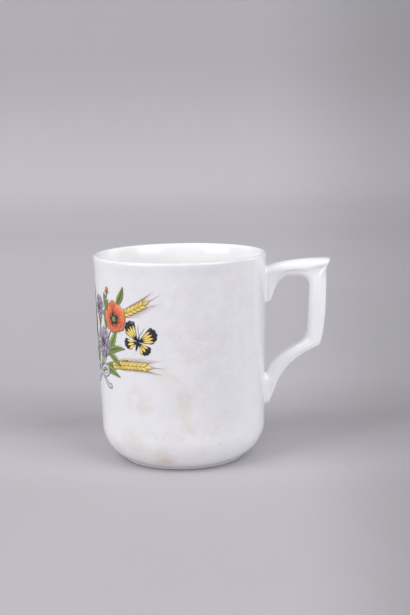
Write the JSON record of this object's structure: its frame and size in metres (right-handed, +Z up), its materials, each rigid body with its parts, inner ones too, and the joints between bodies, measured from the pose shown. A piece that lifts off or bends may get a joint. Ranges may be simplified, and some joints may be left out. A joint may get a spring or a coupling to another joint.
{
  "type": "mug",
  "caption": "Straight-sided glazed porcelain mug on a foot ring, with an angular handle that has a flat thumb rest and a narrow lower arm.",
  "frame": {"origin": "on the table, under the middle of the whole outline, handle included", "axes": "+X towards the handle, +Z up, out of the mug's mouth; the mug's own axis is 14 mm to the -X side of the origin"},
  "size_m": [0.1026, 0.075, 0.0895],
  "materials": {
    "glazed_porcelain": "glossy white glaze",
    "glazed_slip": "glossy white glaze over slip"
  },
  "bodies": {
    "root": {"cup_body": "glazed_porcelain", "handle": "glazed_porcelain", "upper_slip_joint": "glazed_slip", "lower_slip_joint": "glazed_slip"}
  },
  "joints": []
}
